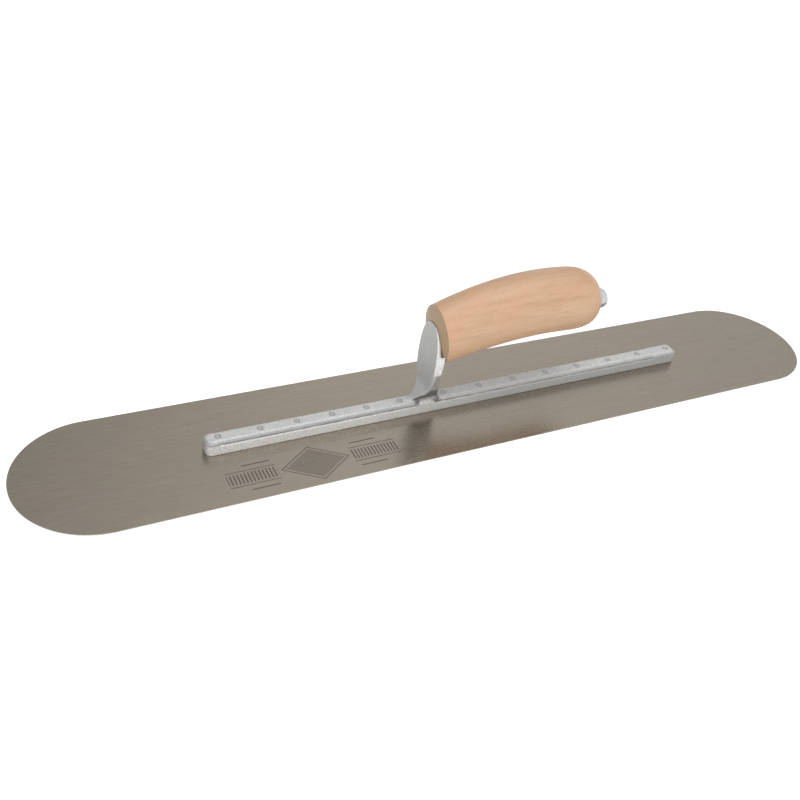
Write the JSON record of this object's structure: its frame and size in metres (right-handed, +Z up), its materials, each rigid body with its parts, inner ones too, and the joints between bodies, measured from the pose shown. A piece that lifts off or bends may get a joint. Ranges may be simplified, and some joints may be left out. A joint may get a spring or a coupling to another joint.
{
  "type": "steel finishing trowel",
  "caption": "Long round-ended steel trowel blade under a riveted cast bar, with an upright shank and a curved wooden grip.",
  "frame": {"origin": "middle of the blade's flat underside, which is the bottom centre of the whole tool", "axes": "+X along the blade towards the butt of the handle, +Y across the blade, +Z up out of the blade"},
  "size_m": [0.6096, 0.1016, 0.0973],
  "materials": {
    "blade_steel": "ground spring steel, satin, with fine lengthwise streaks",
    "cast_aluminium": "as cast, matt, lightly tumbled",
    "beech": "smooth turned hardwood, thin clear finish",
    "stud_steel": "plain threaded steel rod",
    "zinc_plate": "bright zinc plate",
    "rivet_aluminium": "headed and ground flush, satin"
  },
  "bodies": {
    "root": {"blade": "blade_steel", "mounting": "cast_aluminium", "handle": "beech", "handle_stud": "stud_steel", "washer": "zinc_plate", "cap_nut": "zinc_plate", "rivet_01": "rivet_aluminium", "rivet_02": "rivet_aluminium", "rivet_03": "rivet_aluminium", "rivet_04": "rivet_aluminium", "rivet_05": "rivet_aluminium", "rivet_06": "rivet_aluminium", "rivet_07": "rivet_aluminium", "rivet_08": "rivet_aluminium", "rivet_09": "rivet_aluminium", "rivet_10": "rivet_aluminium", "rivet_11": "rivet_aluminium", "rivet_12": "rivet_aluminium", "rivet_13": "rivet_aluminium", "rivet_14": "rivet_aluminium"}
  },
  "joints": []
}
